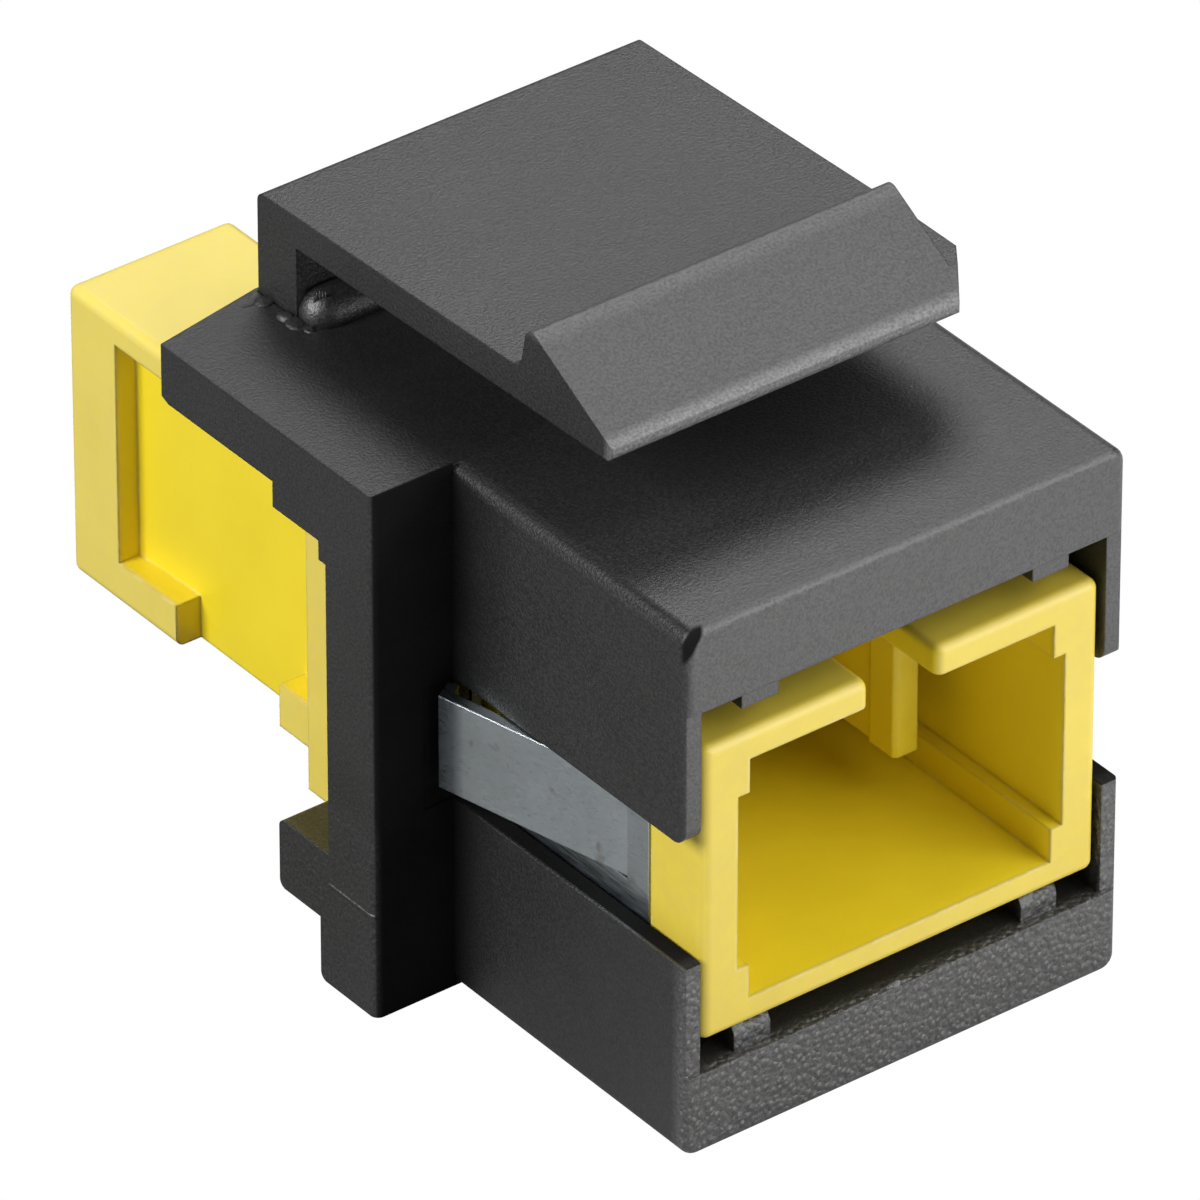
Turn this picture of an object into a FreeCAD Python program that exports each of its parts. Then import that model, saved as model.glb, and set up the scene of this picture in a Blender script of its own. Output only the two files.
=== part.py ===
import FreeCAD, Part
import os
import re
import Sketcher

# Snap-in panel module that carries a square push-pull fibre adapter.
# Millimetres. X runs across the module, Y from the front to the rear, Z up.
# Y = 0 is the front face of the flange that stops against the panel.
# Z = 0 is the underside that the module stands on, X = 0 the middle of the box.

# Driving dimensions
SIZES = {
    "box_depth": 10.0,
    "top_bar": 2.6,
    "bottom_bar": 2.55,
    "side_wall": 0.55,
    "wall_gap": 0.12,
    "wall_setback": 0.08,
    "corner_round": 0.45,
    "front_round": 0.25,
    "slot_height": 3.86,
    "slot_behind_flange": 0.06,
    "slot_reach": 0.95,
    "prong_round": 0.45,
    "wing_left": 2.6,
    "wing_right": 1.5,
    "flange_thickness": 2.05,
    "foot_step": 0.4,
    "foot_step_height": 3.25,
    "shelf_length": 9.9,
    "shelf_corner_cut": 0.65,
    "shelf_thickness": 1.75,
    "shelf_root": 2.55,
    "shelf_root_length": 4.35,
    "shelf_chamfer": 0.4,
    "shelf_chamfer_run": 0.95,
    "gusset_depth": 3.15,
    "gusset_length": 2.35,
    "lug_clearance": 0.2,
    "lug_bottom": 2.0,
    "lug_height": 2.2,
    "lug_length": 2.2,
    "lug_round": 0.25,
    "support_height": 0.83,
    "support_width": 1.2,
    "support_length": 1.3,
    "support_inset": 2.45,
    "support_setback": 0.3,
    "support_round": 0.42,
    "guide_setback": 0.06,
    "guide_height": 0.45,
    "guide_lead": 2.4,
    "guide_length": 5.0,
    "adapter_gap": 0.1,
    "top_gap": 1.37,
    "adapter_width": 13.16,
    "adapter_height": 9.25,
    "adapter_length": 28.0,
    "adapter_flange": 4.2,
    "flange_side_rise": 0.82,
    "flange_top_rise": 0.405,
    "end_block": 2.2,
    "recess_depth": 0.7,
    "recess_length": 2.4,
    "waist_depth": 0.84,
    "rail_bottom": 1.35,
    "rail_top": 0.83,
    "rail_end_length": 2.6,
    "rail_flange_length": 2.4,
    "mouth_side_wall": 1.15,
    "mouth_top_wall": 0.84,
    "mouth_depth": 7.6,
    "ledge_depth": 0.38,
    "ledge_height": 1.05,
    "throat_step": 0.4,
    "key_width": 2.25,
    "key_length": 8.0,
    "key_round": 0.25,
    "rim_round": 0.3,
    "insert_side_wall": 0.78,
    "insert_top_wall": 0.42,
    "insert_plate": 1.0,
    "insert_gap": 0.05,
    "sleeve_length": 11.4,
    "sleeve_outer": 3.2,
    "sleeve_bore": 2.5,
    "sleeve_slit": 0.5,
    "sleeve_gap": 0.03,
    "holder_wall": 0.62,
    "holder_lip": 0.65,
    "lip_bore": 2.6,
    "hook_spacing": 6.6,
    "hook_thickness": 0.65,
    "hook_height": 4.1,
    "hook_length": 8.7,
    "hook_nose": 0.12,
    "hook_nose_length": 1.1,
    "steel": 0.3,
    "clip_gap": 0.1,
    "clip_leg": 1.2,
    "clip_shoulder": 0.7,
    "plate_rear_gap": 1.25,
    "tab_height": 2.9,
    "tab_lift": 0.42,
    "tab_end_gap": 0.05,
    "tab_rise": 1.45,
    "tab_return": 0.6,
    "tab_return_length": 0.35,
    "clip_round": 0.45,
    "lever_inset": 0.97,
    "leg_thickness": 1.7,
    "leg_rear_gap": 0.15,
    "lever_height": 3.15,
    "lever_rise": 0.38,
    "lever_plate": 0.95,
    "hinge_gap": 0.03,
    "catch_setback": 1.7,
    "catch_height": 1.5,
    "catch_side_gap": 0.75,
    "catch_lean": 0.3,
    "ramp_length": 3.6,
    "tip_cut_width": 1.15,
    "tip_cut_length": 1.6,
    "nose_height": 0.45,
    "lever_round": 0.3,
    "ridge_round": 0.32,
    "valley_round": 0.28,
}

# Places worked out from the driving dimensions
HALF_ADAPTER = "(adapter_width / 2)"
HALF_BOX = "(adapter_width / 2 + wall_gap + side_wall)"
WALL_INSIDE = "(adapter_width / 2 + wall_gap)"
FRONT = "(-box_depth)"
ADAPTER_BOTTOM = "(bottom_bar + support_height)"
ADAPTER_TOP = "(bottom_bar + support_height + adapter_height)"
ADAPTER_CENTRE = "(bottom_bar + support_height + adapter_height / 2)"
CAVITY_TOP = "(bottom_bar + support_height + adapter_height + top_gap)"
BOX_TOP = "(bottom_bar + support_height + adapter_height + top_gap + top_bar)"
SLOT_BOTTOM = f"({ADAPTER_CENTRE} - slot_height / 2)"
SLOT_TOP = f"({ADAPTER_CENTRE} + slot_height / 2)"
LEFT_SIDE = f"(-{HALF_BOX} - wing_left)"
RIGHT_SIDE = f"({HALF_BOX} + wing_right)"
SHELF_UNDER = f"({BOX_TOP} - shelf_thickness)"
SHELF_ROOT_UNDER = f"({BOX_TOP} - shelf_root)"
GUSSET_UNDER = f"({BOX_TOP} - gusset_depth)"
ADAPTER_MIDDLE = "(flange_thickness + adapter_flange / 2)"
ADAPTER_FRONT = "(flange_thickness + adapter_flange / 2 - adapter_length / 2)"
HALF_ADAPTER_FLANGE = "(adapter_width / 2 + flange_side_rise)"
ADAPTER_FLANGE_UP = "(adapter_height / 2 + flange_top_rise)"
WAIST = "(adapter_width / 2 - waist_depth)"
RECESS_FLOOR = "(adapter_width / 2 - recess_depth)"
END_BLOCK_BACK = f"({ADAPTER_FRONT} + end_block)"
MOUTH_BACK = f"({ADAPTER_FRONT} + mouth_depth)"
MOUTH_SIDE = "(adapter_width / 2 - mouth_side_wall)"
INSERT_SIDE = "(adapter_width / 2 - insert_side_wall)"
INSERT_UP = "(adapter_height / 2 - insert_top_wall)"
HALF_LEVER = f"({HALF_BOX} - lever_inset)"
LEG_REAR = "(shelf_length - leg_rear_gap)"
LEG_FRONT = "(shelf_length - leg_rear_gap - leg_thickness)"
HINGE_Y = "(shelf_length - leg_rear_gap - leg_thickness / 2)"
HINGE_Z = BOX_TOP
LEVER_TOP = f"({BOX_TOP} + lever_height)"
LEVER_UNDER = f"({BOX_TOP} + lever_height - lever_plate)"
CATCH_BASE = f"({BOX_TOP} + lever_height + lever_rise)"
CATCH_Y = "(-catch_setback)"
RIDGE_Y = "(-catch_setback - catch_lean)"
TIP_Y = "(-catch_setback - catch_lean - ramp_length)"
TIP_UNDER = f"({BOX_TOP} + lever_height + lever_rise - lever_plate)"

# Thickness of stock that a cut runs past the face it starts from
PAST = 1.0


def make_sheet(doc):
    """Write every driving dimension into a sheet cell of the same name."""
    sheet = doc.addObject("Spreadsheet::Sheet", "Sizes")
    for row, (name, value) in enumerate(SIZES.items(), start=1):
        sheet.set(f"A{row}", name)
        sheet.set(f"B{row}", str(value))
        sheet.setAlias(f"B{row}", name)
    doc.recompute()
    return sheet


def bound(text):
    """Turn plain dimension names into references to the sheet."""
    def refer(match):
        word = match.group(0)
        return f"Sizes.{word}" if word in SIZES else word
    return re.sub(r"[a-z][a-z_]*", refer, str(text))


def number(sheet, text):
    """Work out an expression of dimension names as a number."""
    values = {name: float(sheet.get(name)) for name in SIZES}
    def fill(match):
        return str(values[match.group(0)])
    plain = re.sub(r"[a-z][a-z_]*", fill, str(text))
    return float(FreeCAD.Units.Quantity(plain).Value)


class Piece:
    """A body that grows by padded and pocketed outlines on its own planes."""

    ROLES = {"X": "YZ_Plane", "Y": "XZ_Plane", "Z": "XY_Plane"}

    def __init__(self, doc, sheet, label):
        self.doc = doc
        self.sheet = sheet
        self.body = doc.addObject("PartDesign::Body", label)
        self.body.Label = label
        self.count = 0

    def size(self, text):
        return number(self.sheet, text)

    def sketch(self, axis, start):
        """Open a sketch square to an axis, at the named place along it."""
        self.count += 1
        name = f"{self.body.Name}_outline_{self.count}"
        sketch = self.body.newObject("Sketcher::SketchObject", name)
        planes = self.body.Origin.OriginFeatures
        plane = next(p for p in planes if p.Role == self.ROLES[axis])
        sketch.AttachmentSupport = (plane, [""])
        sketch.MapMode = "FlatFace"
        sign = "-1 * " if axis == "Y" else ""
        sketch.setExpression("AttachmentOffset.Base.z", bound(f"{sign}({start})"))
        return sketch

    def fix_point(self, sketch, index, end, place):
        """Tie one end of a line to the sheet by its two distances from the origin."""
        for kind, text in zip(("DistanceX", "DistanceY"), place):
            value = self.size(text)
            row = sketch.addConstraint(Sketcher.Constraint(kind, -1, 1, index, end, value))
            sketch.setExpression(f"Constraints[{row}]", bound(text))

    def polygon(self, axis, start, places):
        """Draw a closed outline of straight lines through the named places."""
        sketch = self.sketch(axis, start)
        points = [FreeCAD.Vector(self.size(a), self.size(b), 0) for a, b in places]
        count = len(points)
        for i in range(count):
            sketch.addGeometry(Part.LineSegment(points[i], points[(i + 1) % count]), False)
        for i in range(count):
            sketch.addConstraint(Sketcher.Constraint("Coincident", i, 2, (i + 1) % count, 1))
        for i, place in enumerate(places):
            self.fix_point(sketch, i, 1, place)
        return sketch

    def circle(self, axis, start, centre, radius):
        """Draw a circle about the named centre."""
        sketch = self.sketch(axis, start)
        middle = FreeCAD.Vector(self.size(centre[0]), self.size(centre[1]), 0)
        sketch.addGeometry(Part.Circle(middle, FreeCAD.Vector(0, 0, 1), self.size(radius)), False)
        self.fix_point(sketch, 0, 3, centre)
        row = sketch.addConstraint(Sketcher.Constraint("Radius", 0, self.size(radius)))
        sketch.setExpression(f"Constraints[{row}]", bound(radius))
        return sketch

    def volume(self):
        return self.body.Shape.Volume if self.body.Tip else 0.0

    def extrude(self, kind, sketch, axis, length):
        """Pad or pocket a sketch towards the positive end of its axis."""
        before = self.volume()
        feature = self.body.newObject(f"PartDesign::{kind}", f"{sketch.Name}_{kind}")
        feature.Profile = sketch
        feature.setExpression("Length", bound(length))
        along_normal = kind == "Pad"
        feature.Reversed = along_normal if axis == "Y" else not along_normal
        self.body.Tip = feature
        self.doc.recompute()
        change = self.volume() - before
        if (change > 0) != (kind == "Pad"):
            raise ValueError(f"{feature.Name} changed nothing in {self.body.Label}")
        return feature

    def add(self, axis, start, length, places):
        return self.extrude("Pad", self.polygon(axis, start, places), axis, length)

    def cut(self, axis, start, length, places):
        return self.extrude("Pocket", self.polygon(axis, start, places), axis, length)

    def add_round(self, axis, start, length, centre, radius):
        return self.extrude("Pad", self.circle(axis, start, centre, radius), axis, length)

    def cut_round(self, axis, start, length, centre, radius):
        return self.extrude("Pocket", self.circle(axis, start, centre, radius), axis, length)

    def round_edges(self, radius, wanted):
        """Round the straight edges that the test picks out."""
        names = []
        for i, edge in enumerate(self.body.Shape.Edges, start=1):
            if is_straight(edge) and wanted(*describe(edge)):
                names.append(f"Edge{i}")
        if not names:
            raise ValueError(f"no edge to round on {self.body.Label}")
        self.count += 1
        tip = self.body.Tip
        name = f"{self.body.Name}_round_{self.count}"
        feature = self.body.newObject("PartDesign::Fillet", name)
        feature.Base = (tip, names)
        feature.setExpression("Radius", bound(radius))
        self.body.Tip = feature
        self.doc.recompute()
        return feature


def is_straight(edge):
    span = edge.Vertexes[0].Point.distanceToPoint(edge.Vertexes[-1].Point)
    return abs(edge.Length - span) < 0.000001


def describe(edge):
    """Give the axis that a straight edge follows and its middle point."""
    start = edge.Vertexes[0].Point
    end = edge.Vertexes[-1].Point
    run = end - start
    spans = {"X": abs(run.x), "Y": abs(run.y), "Z": abs(run.z)}
    along = max(spans, key=spans.get)
    straight = spans[along] > 0.999 * run.Length
    return (along if straight else None), (start + end) * 0.5, run.Length


def near(a, b):
    return abs(a - b) < 0.02


def box_outline(a0, a1, b0, b1):
    """Corner places of a rectangle between two named limits each way."""
    return [(a0, b0), (a1, b0), (a1, b1), (a0, b1)]


def make_frame(doc, sheet):
    """Front box, panel flange, rear shelf and lugs, moulded as one."""
    piece = Piece(doc, sheet, "keystone_frame")
    half = piece.size(HALF_BOX)
    top = piece.size(BOX_TOP)
    piece.add("Y", FRONT, "box_depth", box_outline(f"-{HALF_BOX}", HALF_BOX, "0", BOX_TOP))
    piece.round_edges("corner_round", lambda along, mid, run: along == "Y")
    piece.add("Y", "0", "flange_thickness", box_outline(LEFT_SIDE, RIGHT_SIDE, "0", BOX_TOP))
    add_shelf(piece)
    piece.add("Y", "flange_thickness", "foot_step",
              box_outline(LEFT_SIDE, RIGHT_SIDE, "0", "foot_step_height"))
    add_lugs(piece)
    cut_cavity(piece)
    cut_slots(piece)
    front = piece.size(FRONT)
    piece.round_edges("front_round", lambda along, mid, run: near(mid.y, front) and (
        along == "X" and (near(mid.z, 0) or near(mid.z, top))))
    setback = front + piece.size("wall_setback")
    slot_top = piece.size(SLOT_TOP)
    piece.round_edges("prong_round", lambda along, mid, run: (
        along == "X" and near(mid.y, setback) and near(mid.z, slot_top)))
    add_supports(piece)
    cut_hinge_seat(piece)
    right = piece.size(RIGHT_SIDE)
    left = piece.size(LEFT_SIDE)
    piece.round_edges("front_round", lambda along, mid, run: (
        along == "Z" and near(mid.y, 0) and (near(mid.x, left) or near(mid.x, right))))
    heel = piece.size("flange_thickness + foot_step")
    piece.round_edges("front_round", lambda along, mid, run: (
        along == "X" and near(mid.y, heel) and near(mid.z, 0)))
    return piece.body


def add_shelf(piece):
    """Shelf behind the flange that carries the lever, with its stepped underside."""
    profile = [
        ("0", BOX_TOP),
        ("shelf_length", BOX_TOP),
        ("shelf_length", f"{SHELF_UNDER} + shelf_chamfer"),
        ("shelf_length - shelf_chamfer_run", SHELF_UNDER),
        ("shelf_root_length", SHELF_UNDER),
        ("shelf_root_length", SHELF_ROOT_UNDER),
        ("gusset_length", SHELF_ROOT_UNDER),
        ("gusset_length", GUSSET_UNDER),
        ("0", GUSSET_UNDER),
    ]
    piece.add("X", LEFT_SIDE, f"{RIGHT_SIDE} - {LEFT_SIDE}", profile)
    rear = "shelf_length"
    cut_start = f"{SHELF_UNDER} - {PAST}"
    cut_height = f"shelf_thickness + {2 * PAST}"
    for side, outer in (("-1", LEFT_SIDE), ("1", RIGHT_SIDE)):
        corner = [
            (outer, f"{rear} - shelf_corner_cut"),
            (f"{side} * {HALF_LEVER}", rear),
            (f"{side} * {HALF_LEVER}", f"{rear} + {PAST}"),
            (f"{outer} + {side} * {PAST}", f"{rear} + {PAST}"),
            (f"{outer} + {side} * {PAST}", f"{rear} - shelf_corner_cut"),
        ]
        piece.cut("Z", cut_start, cut_height, corner)


def add_lugs(piece):
    """Short lugs behind the flange, one at each side near the bottom."""
    inner = f"({HALF_ADAPTER_FLANGE} + lug_clearance)"
    for low, high in ((LEFT_SIDE, f"-{inner}"), (inner, RIGHT_SIDE)):
        piece.add("Y", "flange_thickness", "lug_length",
                  box_outline(low, high, "lug_bottom", "lug_bottom + lug_height"))
    lug_rear = piece.size("flange_thickness + lug_length")
    piece.round_edges("lug_round", lambda along, mid, run: (
        near(mid.y, lug_rear) and near(abs(mid.z - piece.size("lug_bottom + lug_height / 2")),
                                       piece.size("lug_height / 2"))))


def cut_cavity(piece):
    """Hollow the box, leave a collar at the flange and room for the adapter's flange."""
    piece.cut("Y", FRONT, "box_depth",
              box_outline(f"-{WALL_INSIDE}", WALL_INSIDE, "bottom_bar", CAVITY_TOP))
    collar = box_outline(f"-{HALF_ADAPTER} - adapter_gap", f"{HALF_ADAPTER} + adapter_gap",
                         f"{ADAPTER_BOTTOM} - adapter_gap", f"{ADAPTER_TOP} + adapter_gap")
    piece.cut("Y", "0", f"flange_thickness + foot_step + {PAST}", collar)
    across = f"{HALF_ADAPTER_FLANGE} + adapter_gap"
    up = f"{ADAPTER_FLANGE_UP} + adapter_gap"
    seat = box_outline(f"-1 * ({across})", across,
                       f"{ADAPTER_CENTRE} - ({up})", f"{ADAPTER_CENTRE} + ({up})")
    piece.cut("Y", "flange_thickness", "adapter_flange", seat)


def cut_slots(piece):
    """Open each side wall to the front and set its front ends back from the bars."""
    for side in ("-1", "1"):
        near_x = f"{side} * ({WALL_INSIDE} - side_wall / 2)"
        far_x = f"{side} * ({HALF_BOX} + slot_reach)"
        low, high = (far_x, near_x) if side == "-1" else (near_x, far_x)
        piece.cut("X", low, f"{high} - {low}",
                  box_outline(f"{FRONT} - {PAST}", "slot_behind_flange", SLOT_BOTTOM, SLOT_TOP))
        edge = f"{side} * ({HALF_BOX} + {PAST})"
        piece.cut("Y", FRONT, "wall_setback",
                  box_outline(near_x, edge, "bottom_bar", CAVITY_TOP))


def add_supports(piece):
    """Ribs under the adapter and lead-in guides above it, just behind the front."""
    first = f"{FRONT} + support_setback"
    lead = f"{FRONT} + guide_setback"
    guide = [
        (lead, f"{CAVITY_TOP} + top_bar / 4"),
        (lead, f"{CAVITY_TOP} - guide_height"),
        (f"{lead} + guide_lead", f"{CAVITY_TOP} - guide_height"),
        (f"{lead} + guide_lead + support_length", f"{ADAPTER_TOP} + adapter_gap / 2"),
        (f"{lead} + guide_length", f"{ADAPTER_TOP} + adapter_gap / 2"),
        (f"{lead} + guide_length", f"{CAVITY_TOP} + top_bar / 4"),
    ]
    for side in ("-1", "1"):
        left = f"{side} * ({HALF_BOX} - support_inset) - support_width / 2"
        right = f"{side} * ({HALF_BOX} - support_inset) + support_width / 2"
        piece.add("Y", first, "support_length",
                  box_outline(left, right, "bottom_bar / 2", ADAPTER_BOTTOM))
        piece.add("X", left, "support_width", guide)
    start = piece.size(first)
    level = piece.size(ADAPTER_BOTTOM)
    piece.round_edges("support_round", lambda along, mid, run: (
        along == "X" and near(mid.y, start) and near(mid.z, level)))


def cut_hinge_seat(piece):
    """Round seat in the shelf for the foot of the lever's leg."""
    piece.cut_round("X", f"-{HALF_LEVER} - hinge_gap", f"2 * ({HALF_LEVER} + hinge_gap)",
                    (HINGE_Y, HINGE_Z), "leg_thickness / 2 + hinge_gap")


def make_lever(doc, sheet):
    """Latch lever: upright leg, long plate and saw-tooth catch on one living hinge."""
    piece = Piece(doc, sheet, "latch_lever")
    plate = [
        (LEG_FRONT, HINGE_Z),
        (LEG_REAR, HINGE_Z),
        (LEG_REAR, LEVER_TOP),
        (CATCH_Y, CATCH_BASE),
        (TIP_Y, CATCH_BASE),
        (TIP_Y, TIP_UNDER),
        (LEG_FRONT, LEVER_UNDER),
    ]
    nose_top = f"{TIP_UNDER} + nose_height"
    ridge_top = f"{CATCH_BASE} + catch_height"
    piece.add("X", f"-{HALF_LEVER}", f"2 * {HALF_LEVER}", plate)
    off_front = [
        (f"{TIP_Y} - {PAST}", nose_top),
        (TIP_Y, nose_top),
        (RIDGE_Y, ridge_top),
        (f"{TIP_Y} - {PAST}", ridge_top),
    ]
    tooth = [
        (TIP_Y, nose_top),
        (f"{CATCH_Y} + valley_round", nose_top),
        (f"{CATCH_Y} + valley_round", CATCH_BASE),
        (f"{CATCH_Y} + valley_round / 4", f"{CATCH_BASE} + valley_round / 4"),
        (f"{CATCH_Y} + ({RIDGE_Y} - {CATCH_Y}) * valley_round / catch_height",
         f"{CATCH_BASE} + valley_round"),
        (RIDGE_Y, ridge_top),
    ]
    piece.cut("X", f"-{HALF_LEVER} - {PAST}", f"2 * ({HALF_LEVER} + {PAST})", off_front)
    piece.add("X", f"-{HALF_LEVER}", f"2 * {HALF_LEVER} - catch_side_gap", tooth)
    piece.add_round("X", f"-{HALF_LEVER}", f"2 * {HALF_LEVER}", (HINGE_Y, HINGE_Z), "leg_thickness / 2")
    rear = piece.size(LEG_REAR)
    top = piece.size(LEVER_TOP)
    piece.round_edges("lever_round", lambda along, mid, run: (
        along == "X" and near(mid.y, rear) and near(mid.z, top)))
    ridge = piece.size(ridge_top)
    piece.round_edges("ridge_round", lambda along, mid, run: along == "X" and near(mid.z, ridge))
    tip = piece.size(TIP_Y)
    under = piece.size(TIP_UNDER)
    piece.round_edges("lever_round", lambda along, mid, run: (
        along == "X" and near(mid.y, tip) and near(mid.z, under)))
    corner = [
        (f"{HALF_LEVER} - tip_cut_width", TIP_Y),
        (HALF_LEVER, f"{TIP_Y} + tip_cut_length"),
        (f"{HALF_LEVER} + {PAST}", f"{TIP_Y} + tip_cut_length"),
        (f"{HALF_LEVER} + {PAST}", f"{TIP_Y} - {PAST}"),
        (f"{HALF_LEVER} - tip_cut_width", f"{TIP_Y} - {PAST}"),
    ]
    piece.cut("Z", f"{TIP_UNDER} - {PAST}", f"lever_plate + catch_height + {2 * PAST}", corner)
    return piece.body


def make_shell(doc, sheet, label):
    """One half of the adapter: end block, waist, rails, half flange and plug socket."""
    piece = Piece(doc, sheet, label)
    height = (ADAPTER_BOTTOM, ADAPTER_TOP)
    piece.add("Y", ADAPTER_FRONT, "adapter_length / 2", box_outline(f"-{WAIST}", WAIST, *height))
    piece.add("Y", ADAPTER_FRONT, "end_block",
              box_outline(f"-{HALF_ADAPTER}", HALF_ADAPTER, *height))
    slope_end = f"{END_BLOCK_BACK} + recess_length"
    piece.add("Z", ADAPTER_BOTTOM, "adapter_height",
              [(f"-{RECESS_FLOOR}", END_BLOCK_BACK), (RECESS_FLOOR, END_BLOCK_BACK),
               (WAIST, slope_end), (f"-{WAIST}", slope_end)])
    add_rails(piece)
    piece.add("Y", "flange_thickness", "adapter_flange / 2",
              box_outline(f"-{HALF_ADAPTER_FLANGE}", HALF_ADAPTER_FLANGE,
                          f"{ADAPTER_CENTRE} - {ADAPTER_FLANGE_UP}",
                          f"{ADAPTER_CENTRE} + {ADAPTER_FLANGE_UP}"))
    cut_socket(piece)
    front = piece.size(ADAPTER_FRONT)
    half = piece.size(HALF_ADAPTER)
    low = piece.size(ADAPTER_BOTTOM)
    high = piece.size(ADAPTER_TOP)
    piece.round_edges("rim_round", lambda along, mid, run: (
        along == "Z" and near(mid.y, front) and near(abs(mid.x), half)))
    piece.round_edges("rim_round", lambda along, mid, run: (
        along == "X" and near(mid.y, front) and (near(mid.z, low) or near(mid.z, high))))
    key_side = piece.size("key_width / 2")
    piece.round_edges("key_round", lambda along, mid, run: (
        along == "Z" and near(mid.y, front) and near(abs(mid.x), key_side)))
    return piece.body


def add_rails(piece):
    """Proud rails along the sides: whole at the top, broken for the clip below."""
    lower = (ADAPTER_BOTTOM, f"{ADAPTER_BOTTOM} + rail_bottom")
    upper = (f"{ADAPTER_TOP} - rail_top", ADAPTER_TOP)
    across = (f"-{HALF_ADAPTER}", HALF_ADAPTER)
    piece.add("Y", ADAPTER_FRONT, "end_block + rail_end_length", box_outline(*across, *lower))
    piece.add("Y", "flange_thickness - rail_flange_length", "rail_flange_length",
              box_outline(*across, *lower))
    piece.add("Y", ADAPTER_FRONT, f"flange_thickness - {ADAPTER_FRONT}",
              box_outline(*across, *upper))


def cut_socket(piece):
    """Mouth with corner ledges, throat behind it, key slot and seat for the insert."""
    wide = MOUTH_SIDE
    narrow = f"({MOUTH_SIDE} - ledge_depth)"
    throat = f"({MOUTH_SIDE} - throat_step)"
    low = f"({ADAPTER_BOTTOM} + mouth_top_wall)"
    high = f"({ADAPTER_TOP} - mouth_top_wall)"
    mouth = [
        (f"-{narrow}", low), (narrow, low),
        (narrow, f"{low} + ledge_height"), (wide, f"{low} + ledge_height"),
        (wide, f"{high} - ledge_height"), (narrow, f"{high} - ledge_height"),
        (narrow, high), (f"-{narrow}", high),
        (f"-{narrow}", f"{high} - ledge_height"), (f"-{wide}", f"{high} - ledge_height"),
        (f"-{wide}", f"{low} + ledge_height"), (f"-{narrow}", f"{low} + ledge_height"),
    ]
    piece.cut("Y", ADAPTER_FRONT, "mouth_depth", mouth)
    piece.cut("Y", MOUTH_BACK, "adapter_length / 2 - mouth_depth",
              box_outline(f"-{throat}", throat, low, high))
    piece.cut("Y", ADAPTER_FRONT, "key_length",
              box_outline("-key_width / 2", "key_width / 2", ADAPTER_CENTRE, f"{ADAPTER_TOP} + {PAST}"))
    across = f"({INSERT_SIDE} + insert_gap)"
    up = f"({INSERT_UP} + insert_gap)"
    piece.cut("Y", f"{ADAPTER_MIDDLE} - insert_plate - insert_gap", "insert_plate + insert_gap",
              box_outline(f"-{across}", across, f"{ADAPTER_CENTRE} - {up}", f"{ADAPTER_CENTRE} + {up}"))


def make_insert(doc, sheet, label):
    """Inner half that holds the sleeve and carries the two plug hooks."""
    piece = Piece(doc, sheet, label)
    plate_front = f"({ADAPTER_MIDDLE} - insert_plate)"
    piece.add("Y", plate_front, "insert_plate",
              box_outline(f"-{INSERT_SIDE}", INSERT_SIDE,
                          f"{ADAPTER_CENTRE} - {INSERT_UP}", f"{ADAPTER_CENTRE} + {INSERT_UP}"))
    centre = ("0", ADAPTER_CENTRE)
    bore = "(sleeve_outer / 2 + sleeve_gap)"
    reach = "(sleeve_length / 2 + sleeve_gap + holder_lip)"
    piece.add_round("Y", f"{ADAPTER_MIDDLE} - {reach}", reach, centre, f"{bore} + holder_wall")
    add_hooks(piece, plate_front)
    piece.cut_round("Y", f"{ADAPTER_MIDDLE} - {reach}", reach, centre, "lip_bore / 2")
    depth = "(sleeve_length / 2 + sleeve_gap)"
    piece.cut_round("Y", f"{ADAPTER_MIDDLE} - {depth}", depth, centre, bore)
    return piece.body


def add_hooks(piece, plate_front):
    """Two flat arms with inward noses at their ends."""
    tip = f"({plate_front} - hook_length)"
    for side in ("-1", "1"):
        inside = f"{side} * hook_spacing / 2"
        outside = f"{side} * (hook_spacing / 2 + hook_thickness)"
        point = f"{side} * (hook_spacing / 2 - hook_nose)"
        arm = [
            (outside, plate_front),
            (outside, tip),
            (inside, tip),
            (point, f"{tip} + hook_nose"),
            (point, f"{tip} + hook_nose_length"),
            (inside, f"{tip} + hook_nose_length"),
            (inside, plate_front),
        ]
        piece.add("Z", f"{ADAPTER_CENTRE} - hook_height / 2", "hook_height", turned(side, arm))


def make_sleeve(doc, sheet):
    """Ceramic tube with a slit along its whole length."""
    piece = Piece(doc, sheet, "split_sleeve")
    start = f"{ADAPTER_MIDDLE} - sleeve_length / 2"
    centre = ("0", ADAPTER_CENTRE)
    piece.add_round("Y", start, "sleeve_length", centre, "sleeve_outer / 2")
    piece.cut_round("Y", start, "sleeve_length", centre, "sleeve_bore / 2")
    piece.cut("Y", start, "sleeve_length",
              box_outline("-sleeve_slit / 2", "sleeve_slit / 2",
                          ADAPTER_CENTRE, f"{ADAPTER_CENTRE} + sleeve_outer"))
    return piece.body


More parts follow.
